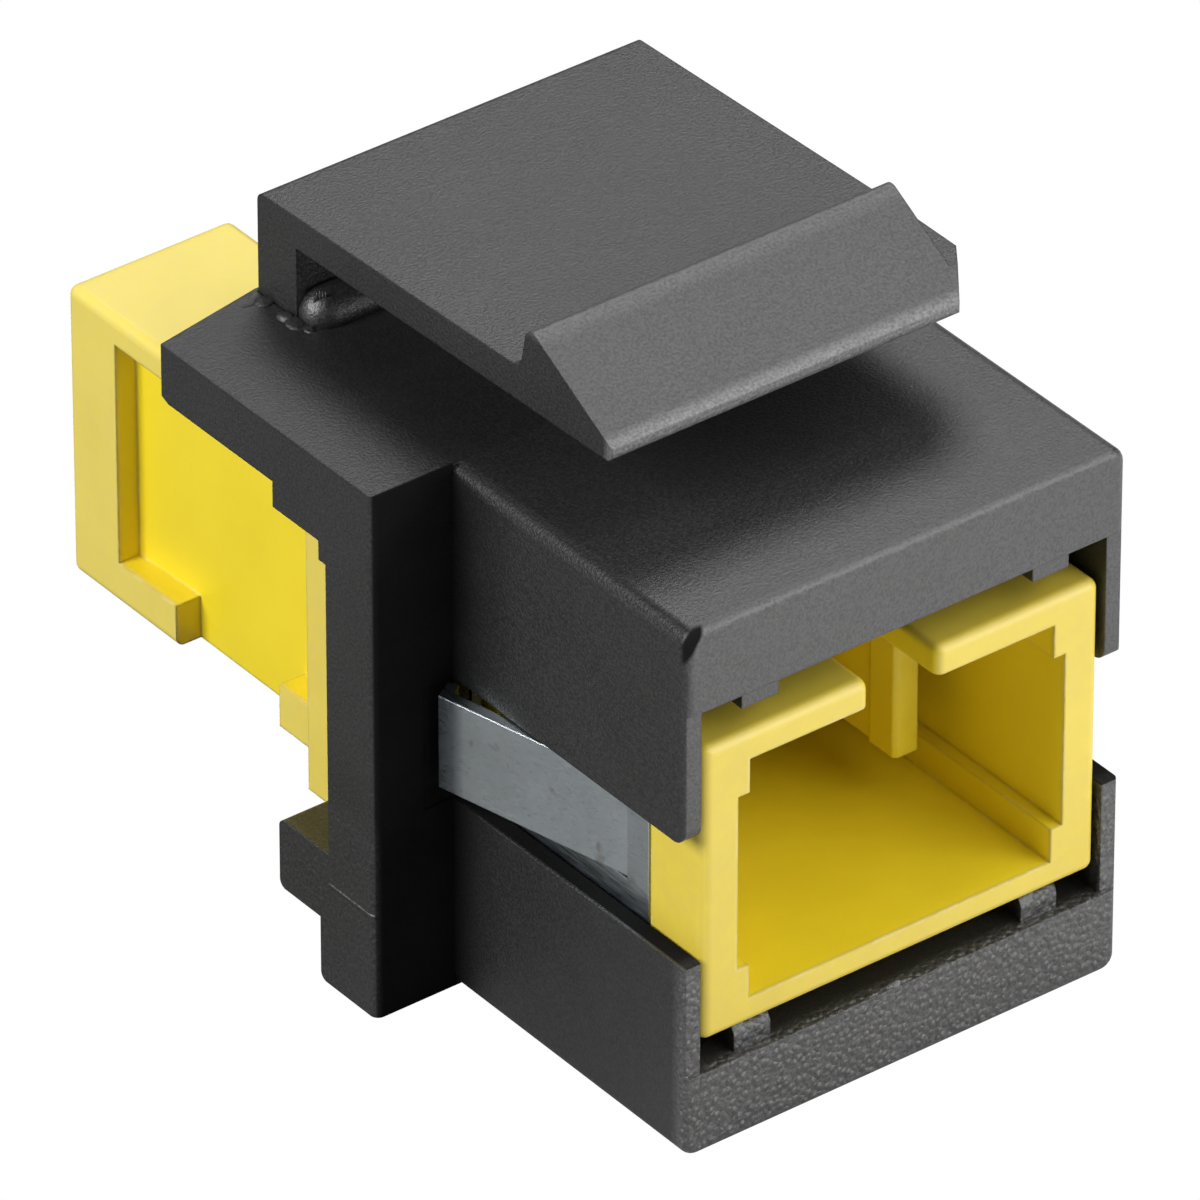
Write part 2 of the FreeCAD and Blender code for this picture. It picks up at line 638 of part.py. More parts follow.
def make_clip(doc, sheet):
    """Folded steel strap under the adapter with a sprung tab at each side."""
    piece = Piece(doc, sheet, "retaining_clip")
    outside = HALF_ADAPTER
    inside = f"({HALF_ADAPTER} - steel)"
    foot = f"({WAIST} + steel)"
    under = f"({ADAPTER_BOTTOM} - steel)"
    leg_top = f"({ADAPTER_BOTTOM} + clip_leg)"
    shoulder = f"({leg_top} + clip_shoulder)"
    top = f"({ADAPTER_TOP} - rail_top - clip_gap)"
    front = f"({END_BLOCK_BACK} + clip_gap)"
    strap_front = f"({END_BLOCK_BACK} + rail_end_length + clip_gap)"
    strap_rear = "(flange_thickness - rail_flange_length - clip_gap)"
    rear = "(flange_thickness - plate_rear_gap)"
    strap = [
        (f"-{foot}", under), (foot, under), (foot, leg_top),
        (WAIST, leg_top), (WAIST, ADAPTER_BOTTOM),
        (f"-{WAIST}", ADAPTER_BOTTOM), (f"-{WAIST}", leg_top), (f"-{foot}", leg_top),
    ]
    piece.add("Y", strap_front, f"{strap_rear} - {strap_front}", strap)
    low = piece.size(under)
    piece.round_edges("clip_round", lambda along, mid, run: along == "Y" and near(mid.z, low))
    for side in ("-1", "1"):
        neck = [
            (f"{side} * {foot}", f"{leg_top} - steel"), (f"{side} * {outside}", shoulder),
            (f"{side} * {outside}", f"{shoulder} + steel"),
            (f"{side} * {inside}", f"{shoulder} + steel"),
            (f"{side} * {inside}", f"{shoulder} + steel / 3"),
            (f"{side} * {WAIST}", leg_top), (f"{side} * {WAIST}", f"{leg_top} - steel"),
        ]
        piece.add("Y", strap_front, f"{strap_rear} - {strap_front}", turned(side, neck))
        plate = [
            (f"{side} * {outside}", shoulder), (f"{side} * {outside}", top),
            (f"{side} * {RECESS_FLOOR}", top), (f"{side} * {RECESS_FLOOR}", f"{top} - steel"),
            (f"{side} * {inside}", f"{top} - steel"), (f"{side} * {inside}", shoulder),
        ]
        piece.add("Y", front, f"{rear} - {front}", turned(side, plate))
    root = f"({front} + clip_round * 2)"
    tab_low = f"({ADAPTER_CENTRE} + tab_lift - tab_height / 2)"
    tab_end = "-tab_end_gap"
    window = box_outline(root, f"{tab_end} + clip_gap",
                         f"{tab_low} - clip_gap", f"{tab_low} + tab_height + clip_gap")
    piece.cut("X", f"-{outside} - {PAST}", f"2 * ({outside} + {PAST})", window)
    for side in ("-1", "1"):
        add_tab(piece, side, inside, outside, root, tab_low)
    return piece.body


def turned(side, places):
    """List the places the other way round on the right-hand side."""
    return places[::-1] if side == "1" else places


def add_tab(piece, side, inside, outside, root, tab_low):
    """Tab that rises outward to the rear and turns back in at its end."""
    peak_y = "(-tab_end_gap - tab_return_length)"
    outline = [
        (f"{side} * {inside}", f"{root} - steel"),
        (f"{side} * {outside}", f"{root} - steel"),
        (f"{side} * {outside}", root),
        (f"{side} * ({outside} + tab_rise)", peak_y),
        (f"{side} * ({outside} + tab_rise - tab_return)", f"{peak_y} + tab_return_length"),
        (f"{side} * ({outside} + tab_rise - tab_return - steel / 2)",
         f"{peak_y} + tab_return_length - steel * 0.86"),
        (f"{side} * ({inside} + tab_rise - steel / 3)", f"{peak_y} - steel / 2"),
        (f"{side} * {inside}", f"{root} + steel / 4"),
    ]
    piece.add("Z", tab_low, "tab_height", turned(side, outline))


def turn_to_rear(body):
    """Turn a copy end for end about the adapter's middle."""
    body.Placement = FreeCAD.Placement(FreeCAD.Vector(0, 0, 0),
                                       FreeCAD.Rotation(FreeCAD.Vector(0, 0, 1), 180))
    body.setExpression("Placement.Base.y", bound(f"2 * {ADAPTER_MIDDLE}"))


def check(doc, bodies):
    """Stop if anything in the document failed or a sub-part is not one sound solid."""
    for item in doc.Objects:
        if {"Invalid", "Error"} & set(item.State):
            raise ValueError(f"{item.Name} failed to build")
    for body in bodies:
        shape = body.Shape
        if shape.isNull() or not shape.isValid() or not shape.Solids:
            raise ValueError(f"{body.Label} is not a sound solid")


def main():
    doc = FreeCAD.newDocument("fibre_adapter_module")
    sheet = make_sheet(doc)
    rear_shell = make_shell(doc, sheet, "adapter_rear_shell")
    rear_insert = make_insert(doc, sheet, "rear_latch_insert")
    bodies = [
        make_frame(doc, sheet),
        make_lever(doc, sheet),
        make_shell(doc, sheet, "adapter_front_shell"),
        rear_shell,
        make_insert(doc, sheet, "front_latch_insert"),
        rear_insert,
        make_sleeve(doc, sheet),
        make_clip(doc, sheet),
    ]
    turn_to_rear(rear_shell)
    turn_to_rear(rear_insert)
    doc.recompute()
    check(doc, bodies)
    os.makedirs("parts", exist_ok=True)
    for body in bodies:
        shape = body.Shape
        shape.exportStep(f"parts/{body.Label}.step")
        box = shape.BoundBox
        print(f"{body.Label}: {len(shape.Solids)} solid, {shape.Volume:.2f} mm3, "
              f"X {box.XMin:.2f} {box.XMax:.2f}, Y {box.YMin:.2f} {box.YMax:.2f}, "
              f"Z {box.ZMin:.2f} {box.ZMax:.2f}")


main()
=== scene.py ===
import math
import random

import bpy
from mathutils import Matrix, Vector


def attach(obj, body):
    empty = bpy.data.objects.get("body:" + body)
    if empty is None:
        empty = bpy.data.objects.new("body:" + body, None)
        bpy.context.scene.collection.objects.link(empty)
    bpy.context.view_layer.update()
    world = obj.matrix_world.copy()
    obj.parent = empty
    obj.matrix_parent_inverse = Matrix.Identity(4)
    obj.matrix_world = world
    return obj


# Snap-in panel module with a square push-pull fibre adapter, seen from its front left.
# Metres, in the row frame: X across, Y from the front to the rear, Z up.

MM = 0.001
WHITE = (1, 1, 1, 1)
random.seed(7)

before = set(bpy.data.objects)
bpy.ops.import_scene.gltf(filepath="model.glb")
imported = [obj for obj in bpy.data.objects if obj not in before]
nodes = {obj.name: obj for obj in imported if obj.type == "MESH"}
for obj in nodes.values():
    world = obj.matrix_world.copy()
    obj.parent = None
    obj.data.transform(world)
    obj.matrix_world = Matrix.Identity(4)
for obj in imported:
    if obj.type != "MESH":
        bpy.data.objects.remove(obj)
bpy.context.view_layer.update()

# Camera place and lens from the fit to the photo
CAMERA_TARGET = Vector((0.747, 4.083, 6.892)) * MM
CAMERA_BACK = Vector((-0.5041, -0.6576, 0.5598))
CAMERA_DISTANCE = 428.1 * MM
CAMERA_LENS = 480.0
SENSOR = 36.0
NEAR_CLIP = 0.01
FAR_CLIP = 20.0


def add_camera():
    data = bpy.data.cameras.new("camera")
    data.lens = CAMERA_LENS
    data.sensor_width = SENSOR
    data.clip_start = NEAR_CLIP
    data.clip_end = FAR_CLIP
    camera = bpy.data.objects.new("camera", data)
    bpy.context.scene.collection.objects.link(camera)
    back = CAMERA_BACK.normalized()
    camera.location = CAMERA_TARGET + back * CAMERA_DISTANCE
    camera.rotation_mode = "QUATERNION"
    camera.rotation_quaternion = (-back).to_track_quat("-Z", "Y")
    bpy.context.scene.camera = camera


# Materials

def new_material(name):
    """Make a node material and return it with its tree and its shader."""
    material = bpy.data.materials.new(name)
    material.use_nodes = True
    tree = material.node_tree
    shader = tree.nodes["Principled BSDF"]
    return material, tree, shader


def add_node(tree, kind, values=None, **settings):
    node = tree.nodes.new(kind)
    for key, value in settings.items():
        setattr(node, key, value)
    for key, value in (values or {}).items():
        node.inputs[key].default_value = value
    return node


def object_place(tree):
    """Texture place in millimetres, the same on every piece."""
    place = add_node(tree, "ShaderNodeTexCoord")
    scale = add_node(tree, "ShaderNodeVectorMath", operation="SCALE")
    scale.inputs["Scale"].default_value = 1.0 / MM
    tree.links.new(place.outputs["Object"], scale.inputs[0])
    return scale.outputs["Vector"]


def noise(tree, place, size, detail=2.0, stretch=None):
    """Noise whose blotches are about the given size in millimetres."""
    source = place
    if stretch:
        mapping = add_node(tree, "ShaderNodeMapping", {"Scale": stretch})
        tree.links.new(place, mapping.inputs["Vector"])
        source = mapping.outputs["Vector"]
    node = add_node(tree, "ShaderNodeTexNoise", {"Scale": 1.0 / size, "Detail": detail})
    tree.links.new(source, node.inputs["Vector"])
    return node.outputs["Fac"]


def remap(tree, value, low, high, new_low=0.0, new_high=1.0):
    node = add_node(tree, "ShaderNodeMapRange", {
        "From Min": low, "From Max": high, "To Min": new_low, "To Max": new_high})
    tree.links.new(value, node.inputs["Value"])
    return node.outputs["Result"]


def spread(tree, noise_value, low=0.0, high=1.0):
    """Stretch a noise, which mostly lies between 0.3 and 0.7, over the given range."""
    return remap(tree, noise_value, 0.3, 0.7, low, high)


def leather(tree, place, size):
    """Bumps of about the given size in millimetres, side by side."""
    node = add_node(tree, "ShaderNodeTexVoronoi", {"Scale": 1.0 / size}, feature="F1")
    tree.links.new(place, node.inputs["Vector"])
    return remap(tree, node.outputs["Distance"], 0.1, 0.7, 1.0, 0.0)


def mix_colour(tree, factor, first, second):
    node = add_node(tree, "ShaderNodeMix", data_type="RGBA")
    node.inputs["A"].default_value = (*first, 1.0)
    node.inputs["B"].default_value = (*second, 1.0)
    tree.links.new(factor, node.inputs["Factor"])
    return node.outputs["Result"]


def tinted(tree, colour, factor, tint):
    """Mix a colour that comes from a node towards a plain one."""
    node = add_node(tree, "ShaderNodeMix", data_type="RGBA")
    node.inputs["B"].default_value = (*tint, 1.0)
    tree.links.new(factor, node.inputs["Factor"])
    tree.links.new(colour, node.inputs["A"])
    return node.outputs["Result"]


def add_bump(tree, shader, heights, edge):
    """Soften edges by the given radius and lay rows of height, strength and depth over them."""
    bevel = add_node(tree, "ShaderNodeBevel", {"Radius": edge * MM}, samples=3)
    normal = bevel.outputs["Normal"]
    for height, strength, depth in heights:
        bump = add_node(tree, "ShaderNodeBump", {"Strength": strength, "Distance": depth * MM})
        tree.links.new(height, bump.inputs["Height"])
        tree.links.new(normal, bump.inputs["Normal"])
        normal = bump.outputs["Normal"]
    tree.links.new(normal, shader.inputs["Normal"])


def split_place(tree, place):
    """Outputs X, Y and Z of a place."""
    node = add_node(tree, "ShaderNodeSeparateXYZ")
    tree.links.new(place, node.inputs["Vector"])
    return node.outputs


def chained(tree, operation, values):
    """Join values, from nodes or plain, by a math operation, one after the other."""
    result = values[0]
    for value in values[1:]:
        node = add_node(tree, "ShaderNodeMath", operation=operation)
        for socket, part in zip(node.inputs, (result, value)):
            if isinstance(part, float):
                socket.default_value = part
            else:
                tree.links.new(part, socket)
        result = node.outputs["Value"]
    return result


def product(tree, *values):
    return chained(tree, "MULTIPLY", values)


def difference(tree, *values):
    """The first value less all the others."""
    return chained(tree, "SUBTRACT", values)


def greatest(tree, *values):
    return chained(tree, "MAXIMUM", values)


def without_sign(tree, value):
    node = add_node(tree, "ShaderNodeMath", operation="ABSOLUTE")
    tree.links.new(value, node.inputs[0])
    return node.outputs["Value"]


def region(tree, place, limits):
    """One where every limit is passed, zero before: axis, place of zero and place of one."""
    masks = [remap(tree, split_place(tree, place)[axis], zero, one) for axis, zero, one in limits]
    return product(tree, *masks)


# Regions of the frame and the lever, in millimetres. Each limit is an axis, the place where
# the region begins to fade in and the place from which it is full
# Floor of the slot in the box's side, where the sheen is lowered as painted shade
SLOT_FLOOR_SHADE = (("Z", 6.02, 6.06), ("Z", 6.20, 6.12), ("X", -7.23, -7.15))
# Top of the flange, where the sheen is lowered a little as painted shade
FLANGE_TOP_SHADE = (("Z", 16.50, 16.58), ("Z", 16.75, 16.66), ("Y", 0.0, 0.15))
# Front of the flange beside the box, where the sheen is lowered as painted shade
FLANGE_FRONT_SHADE = (("Y", -2.8, 0.0), ("Y", 0.12, 0.06))
# Lower part of the frame behind its front face, where the sheen is lowered a little as painted
# shade, more towards the bottom
WALL_FOOT_SHADE = (("Z", 8.0, 5.0), ("Y", -9.75, -9.4))
# Rounded top edge of the box's long side, where the highlight is lowered as painted shade
LONG_TOP_EDGE_SHADE = (("X", -6.88, -7.02), ("Z", 16.22, 16.36), ("Y", 0.1, 0.0))
LOWER_BAR_FRONT = (("Z", 6.5, 5.5), ("Y", -9.4, -9.75))
WING_FOOT = (("Z", 6.5, 5.5), ("X", -9.6, -9.75))
# Tip of the lever, paler partly from stress-whitening and partly as a painted highlight
LEVER_TIP = (("Y", -5.20, -5.48),)
# Ridge of the catch, paler as a painted highlight
CATCH_RIDGE_HIGHLIGHT = (("Z", 21.20, 21.42),)

# Distances from the middle between which the box's sides fade into the painted corner shade
BOX_SIDE = (7.1, 7.2)

# Parting line on the outer side of the wider wing: its height, where that side begins
# and where the line ends towards the rear
SEAM_HEIGHT = 3.25
SEAM_SIDE = -9.75
SEAM_END = 2.05


def parting_line(tree, place):
    """One along a thin level line on the wing's side, zero elsewhere."""
    part = split_place(tree, place)
    offset = without_sign(tree, difference(tree, part["Z"], SEAM_HEIGHT))
    line = remap(tree, offset, 0.07, 0.02)
    outer = remap(tree, part["X"], SEAM_SIDE, SEAM_SIDE - 0.05)
    wing = remap(tree, part["Y"], SEAM_END + 0.1, SEAM_END)
    return product(tree, line, outer, wing)


# Chip at the top left corner of the box's front face, left out of the solid and drawn as painted
# shade:
# it lies above the line CHIP_SLOPE * z - x = CHIP_OFFSET and in front of CHIP_FRONT
CHIP_SLOPE = 0.625
CHIP_OFFSET = 16.955
CHIP_FRONT = -9.85


def corner_chip_painted_shade(tree, place):
    """One on the chipped corner of the front face, where the sheen is lowered as painted shade,
    zero elsewhere.
    """
    part = split_place(tree, place)
    above = difference(tree, product(tree, part["Z"], CHIP_SLOPE), CHIP_OFFSET, part["X"])
    front = remap(tree, part["Y"], CHIP_FRONT + 0.15, CHIP_FRONT)
    return product(tree, remap(tree, above, 0.0, 0.12), front)


def flange_corner_painted_shade(tree, place):
    """Painted shade in the corner beside the box: one on the front of the flange, fading out
    along the box's sides in front of it.
    """
    beside = remap(tree, without_sign(tree, split_place(tree, place)["X"]), *BOX_SIDE)
    return product(tree, region(tree, place, FLANGE_FRONT_SHADE), beside)


def painted_shade_places(tree, place):
    """How much the charcoal plastic's sheen is lowered as painted shade: one where it shines
    least, zero where it is plain.
    """
    faces = greatest(tree, region(tree, place, FLANGE_TOP_SHADE), region(tree, place, WALL_FOOT_SHADE))
    return greatest(tree, corner_chip_painted_shade(tree, place), flange_corner_painted_shade(tree, place),
                    region(tree, place, SLOT_FLOOR_SHADE), product(tree, faces, 0.3),
                    product(tree, region(tree, place, LONG_TOP_EDGE_SHADE), 0.6))


def lower_faces(tree, place):
    """Front face of the lower bar and, less so, the foot of the wider wing's side."""
    wing = product(tree, region(tree, place, WING_FOOT), 0.3)
    return greatest(tree, region(tree, place, LOWER_BAR_FRONT), wing)


def lever_tip_whitening_and_highlight(tree, place):
    """Paler tip of the lever, partly stress-whitening and partly a painted highlight, and, less
    so, a painted highlight along the ridge of its catch.
    """
    ridge_highlight = product(tree, region(tree, place, CATCH_RIDGE_HIGHLIGHT), 0.35)
    return greatest(tree, region(tree, place, LEVER_TIP), ridge_highlight)


def whole_piece(tree, place):
    """One everywhere, since no piece lies below the underside."""
    return region(tree, place, (("Z", -2.0, -1.0),))


# Charcoal plastic: its two shades, its pale marks, which on the lever's tip and ridge and on the
# threads are partly painted highlight, and how pale its parting line is
DARK_SHADE = (0.008, 0.008, 0.008)
LIGHT_SHADE = (0.012, 0.012, 0.012)
MARK_COLOUR = (0.16, 0.16, 0.16)
SEAM_PALENESS = 0.15


def charcoal_plastic(name, marked, roughness_there, flecks_there, paleness_there):
    """Dark spark-textured plastic, rougher, flecked or paler where the marked function says."""
    material, tree, shader = new_material(name)
    place = object_place(tree)
    cloud = noise(tree, place, size=3.0, detail=4.0)
    grain = noise(tree, place, size=0.085, detail=3.0)
    there = marked(tree, place)
    seam = parting_line(tree, place)
    fleck = remap(tree, noise(tree, place, size=0.13, detail=1.0), 0.64, 0.72, 0.0, flecks_there)
    pale = spread(tree, grain, 0.35 * paleness_there, paleness_there)
    marks = greatest(tree, product(tree, greatest(tree, fleck, pale), there),
                     product(tree, seam, SEAM_PALENESS))
    plain = mix_colour(tree, spread(tree, cloud), DARK_SHADE, LIGHT_SHADE)
    tree.links.new(tinted(tree, plain, marks, MARK_COLOUR), shader.inputs["Base Color"])
    tree.links.new(spread(tree, grain, 0.40, 0.52), shader.inputs["Roughness"])
    # Lowering the sheen in those places is painted shade
    shine = remap(tree, painted_shade_places(tree, place), 1.0, 0.0)
    gloss = product(tree, shine, remap(tree, grain, 0.35, 0.65, 0.75, 1.18))
    tree.links.new(gloss, shader.inputs["Specular IOR Level"])
    shader.inputs["IOR"].default_value = 1.54
    rough = product(tree, leather(tree, place, 0.22), there, roughness_there)
    uneven = noise(tree, place, size=0.7)
    add_bump(tree, shader, [(grain, 0.75, 0.028), (rough, 0.7, 0.075), (seam, 0.8, 0.05),
                            (uneven, 0.12, 0.03)], edge=0.07)
    return material


# Where the coupler's outermost faces begin, just inside them: half width, top and half
# length from its middle, then the depth over which they begin
SKIN_SIDE = 6.40
SKIN_TOP = 12.45
SKIN_END = 13.85
COUPLER_MIDDLE = 4.15
SKIN_DEPTH = 0.1


def outer_skin(tree, place):
    """One on the coupler's outermost faces, zero inside it and in its hollows."""
    part = split_place(tree, place)
    across = without_sign(tree, part["X"])
    along = without_sign(tree, difference(tree, part["Y"], COUPLER_MIDDLE))
    side = remap(tree, across, SKIN_SIDE, SKIN_SIDE + SKIN_DEPTH)
    top = remap(tree, part["Z"], SKIN_TOP, SKIN_TOP + SKIN_DEPTH)
    end = remap(tree, along, SKIN_END, SKIN_END + SKIN_DEPTH)
    return greatest(tree, side, top, end)


def edge_wear_and_highlight(tree, radius, rough):
    """Zero on flat faces, up to one along edges, broken up by a noise."""
    bevel = add_node(tree, "ShaderNodeBevel", {"Radius": radius * MM}, samples=2)
    plain = add_node(tree, "ShaderNodeNewGeometry")
    dot = add_node(tree, "ShaderNodeVectorMath", operation="DOT_PRODUCT")
    tree.links.new(bevel.outputs["Normal"], dot.inputs[0])
    tree.links.new(plain.outputs["Normal"], dot.inputs[1])
    edge = remap(tree, dot.outputs["Value"], 0.99, 0.85)
    return product(tree, edge, remap(tree, rough, 0.48, 0.60, 0.15, 1.0))


# Stretch along the coupler over which the front skin's colour turns into the rear skin's; the
# darker front skin is painted shade
SKIN_CHANGE = (("Y", -8.0, 12.0),)

# Soft clouds that multiply the yellow
CLOUD_SHADE = (0.95, 0.94, 0.92)
CLOUD_LIGHT = (1.0, 1.0, 1.0)


def yellow_plastic(name, deep, front_skin, rear_skin, wear_and_highlight):
    """Saturated plastic, paler on its outermost faces as painted sheen, darker on its front skin
    as painted shade, and paler along its edges, partly from wear and partly as a painted
    highlight.
    """
    material, tree, shader = new_material(name)
    place = object_place(tree)
    cloud = noise(tree, place, size=2.5, detail=3.0)
    grain = noise(tree, place, size=0.12)
    scuff = noise(tree, place, size=0.5, detail=4.0)
    # Outer faces paler as painted sheen, broken up by a noise
    skin_painted_sheen = product(tree, outer_skin(tree, place), spread(tree, scuff, 0.8, 1.0))
    skin = mix_colour(tree, region(tree, place, SKIN_CHANGE), front_skin, rear_skin)
    plain = tinted(tree, skin, remap(tree, skin_painted_sheen, 1.0, 0.0), deep)
    # Edges paler partly from wear and partly as a painted highlight
    rubbed_and_highlit = tinted(tree, plain, product(tree, edge_wear_and_highlight(tree, 0.14, scuff), 0.6), wear_and_highlight)
    shade = add_node(tree, "ShaderNodeMix", data_type="RGBA", blend_type="MULTIPLY")
    shade.inputs["Factor"].default_value = 1.0
    tree.links.new(rubbed_and_highlit, shade.inputs["A"])
    tree.links.new(mix_colour(tree, spread(tree, cloud), CLOUD_SHADE, CLOUD_LIGHT),
                   shade.inputs["B"])
    tree.links.new(shade.outputs["Result"], shader.inputs["Base Color"])
    tree.links.new(spread(tree, grain, 0.32, 0.44), shader.inputs["Roughness"])
    shader.inputs["Specular IOR Level"].default_value = 0.7
    uneven = noise(tree, place, size=1.4)
    add_bump(tree, shader, [(grain, 0.14, 0.012), (scuff, 0.12, 0.03), (uneven, 0.1, 0.03)],
             edge=0.12)
    return material


# Rolled steel: its two shades, its brown smudges, a painted blue reflection on its foot and a
# painted dark reflection on its rear end
STEEL_SHADE = (0.68, 0.75, 0.78)
STEEL_LIGHT = (0.79, 0.86, 0.90)
SMUDGE_COLOUR = (0.30, 0.25, 0.20)
BLUE_REFLECTION_COLOUR = (0.08, 0.17, 0.34)
BLUE_REFLECTION_FOOT = (("Z", 6.3, 5.6),)
DARK_REFLECTION_COLOUR = (0.34, 0.38, 0.41)
DARK_REFLECTION_END = (("Y", -1.25, -0.85),)


def rolled_steel():
    """Bluish rolled strip with streaks along its length."""
    material, tree, shader = new_material("rolled_steel")
    place = object_place(tree)
    streak = noise(tree, place, size=0.05, detail=3.0, stretch=(1.0, 0.06, 1.0))
    cloud = noise(tree, place, size=1.6, detail=3.0)
    smudge = remap(tree, noise(tree, place, size=0.55, detail=3.0), 0.64, 0.74, 0.0, 0.45)
    colour = mix_colour(tree, spread(tree, cloud), STEEL_SHADE, STEEL_LIGHT)
    colour = tinted(tree, colour, smudge, SMUDGE_COLOUR)
    # Painted blue reflection along the foot
    colour = tinted(tree, colour, region(tree, place, BLUE_REFLECTION_FOOT), BLUE_REFLECTION_COLOUR)
    # Painted dark reflection on the rear end
    colour = tinted(tree, colour, region(tree, place, DARK_REFLECTION_END), DARK_REFLECTION_COLOUR)
    tree.links.new(colour, shader.inputs["Base Color"])
    shader.inputs["Metallic"].default_value = 1.0
    tree.links.new(spread(tree, streak, 0.26, 0.40), shader.inputs["Roughness"])
    add_bump(tree, shader, [(streak, 0.08, 0.01)], edge=0.05)
    return material


CERAMIC_SHADE = (0.84, 0.83, 0.80)
CERAMIC_LIGHT = (0.90, 0.89, 0.87)


def white_ceramic():
    material, tree, shader = new_material("white_ceramic")
    place = object_place(tree)
    cloud = noise(tree, place, size=1.0)
    tree.links.new(mix_colour(tree, cloud, CERAMIC_SHADE, CERAMIC_LIGHT),
                   shader.inputs["Base Color"])
    tree.links.new(spread(tree, cloud, 0.10, 0.18), shader.inputs["Roughness"])
    return material


CHARCOAL = charcoal_plastic("charcoal_plastic", lower_faces, roughness_there=1.0,
                            flecks_there=0.0, paleness_there=0.28)
LEVER_CHARCOAL = charcoal_plastic("lever_charcoal", lever_tip_whitening_and_highlight, roughness_there=0.0,
                                  flecks_there=0.6, paleness_there=0.95)
# Paler charcoal for the threads, as a painted highlight
THREAD_CHARCOAL_HIGHLIT = charcoal_plastic("thread_charcoal_painted_highlight", whole_piece, roughness_there=0.6,
                                   flecks_there=0.4, paleness_there=0.35)
SHELL_YELLOW = yellow_plastic("shell_yellow", deep=(0.84, 0.665, 0.021),
                              front_skin=(0.67, 0.52, 0.065), rear_skin=(0.75, 0.615, 0.13),
                              wear_and_highlight=(0.92, 0.86, 0.50))
INSERT_COLOUR = (0.75, 0.59, 0.022)
INSERT_YELLOW = yellow_plastic("insert_yellow", deep=INSERT_COLOUR, front_skin=INSERT_COLOUR,
                               rear_skin=INSERT_COLOUR, wear_and_highlight=(0.84, 0.70, 0.20))
STEEL = rolled_steel()
CERAMIC = white_ceramic()

FINISH = {
    "keystone_frame": CHARCOAL,
    "latch_lever": LEVER_CHARCOAL,
    "adapter_front_shell": SHELL_YELLOW,
    "adapter_rear_shell": SHELL_YELLOW,
    "front_latch_insert": INSERT_YELLOW,
    "rear_latch_insert": INSERT_YELLOW,
    "split_sleeve": CERAMIC,
    "retaining_clip": STEEL,
}


def finish_nodes():
    for name, material in FINISH.items():
        slots = nodes[name].data.materials
        if not slots:
            slots.append(material)
        for index in range(len(slots)):
            slots[index] = material


# Small moulding marks that the solids leave out

def make_piece(name, points, faces, material, body):
    """Link a mesh given in millimetres and let it ride on a body."""
    mesh = bpy.data.meshes.new(name)
    mesh.from_pydata([Vector(point) * MM for point in points], [], faces)
    mesh.validate()
    for face in mesh.polygons:
        face.use_smooth = True
    mesh.materials.append(material)
    piece = bpy.data.objects.new(name, mesh)
    bpy.context.scene.collection.objects.link(piece)
    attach(piece, body)


def band_faces(bands, sides):
    """Faces between rings of points that follow one another."""
    faces = []
    for band in range(bands):
        low, high = band * sides, (band + 1) * sides
        for side in range(sides):
            following = (side + 1) % sides
            faces.append((low + side, low + following, high + following, high + side))
    return faces


# Range of the random turns that shift an ellipsoid's waves
PHASE_RANGE = 6.28


def ellipsoid(centre, radii, waviness, rings=14, sides=22):
    """Points and faces of a slightly uneven ellipsoid."""
    phases = [random.uniform(0.0, PHASE_RANGE) for _ in range(4)]
    points = []
    for ring in range(rings + 1):
        polar = math.pi * ring / rings
        for side in range(sides):
            turn = 2 * math.pi * side / sides
            long_wave = math.sin(2 * turn + phases[0]) * math.sin(polar + phases[1])
            short_wave = (math.sin(3 * turn + phases[2]) * math.sin(2 * polar + phases[3])
                          * math.sin(polar))
            wave = 1.0 + waviness * (long_wave + 0.6 * short_wave)
            along = (math.cos(polar), math.sin(polar) * math.cos(turn),
                     math.sin(polar) * math.sin(turn))
            points.append([centre[i] + radii[i] * wave * along[i] for i in range(3)])
    return points, band_faces(rings, sides)


# Radius in millimetres of the ring of points that closes a dome
POLE_RADIUS = 0.001


def rod(start, end, radius, steps=10, sides=28):
    """Points and faces of a rod along X with domed ends."""
    stations = []
    for step in range(steps + 1):
        bend = 0.5 * math.pi * step / steps
        stations.append((start + radius * (1 - math.sin(bend)), radius * math.cos(bend)))
    stations = stations[::-1]
    stations += [(start + end - x, reach) for x, reach in stations[::-1]]
    points = []
    for x, reach in stations:
        ring_radius = max(reach, POLE_RADIUS)
        for side in range(sides):
            turn = 2 * math.pi * side / sides
            points.append((x, ring_radius * math.cos(turn), ring_radius * math.sin(turn)))
    return points, band_faces(len(stations) - 1, sides)


# Rounded rib where the lever's leg meets the shelf
RIB_START = -6.30
RIB_END = 5.75
RIB_RADIUS = 0.70
RIB_Y = 7.74
RIB_Z = 16.76

# Pulled threads on the rib's left end, paler as a painted highlight of its crinkles: sideways and
# upward share of each one's direction from the middle of that end, beside a full share outward,
# then its half sizes
THREADS = (
    (-0.42, 0.34, (0.030, 0.030, 0.20)),
    (-0.30, 0.42, (0.035, 0.030, 0.24)),
    (-0.18, 0.48, (0.030, 0.035, 0.22)),
    (-0.06, 0.52, (0.035, 0.030, 0.20)),
    (0.06, 0.56, (0.030, 0.030, 0.15)),
)

# Those directions, as the camera sees them
SIDEWAYS = Vector((0.794, -0.608, 0.0))
UPWARD = Vector((0.341, 0.444, 0.829))
OUTWARD = CAMERA_BACK.normalized()

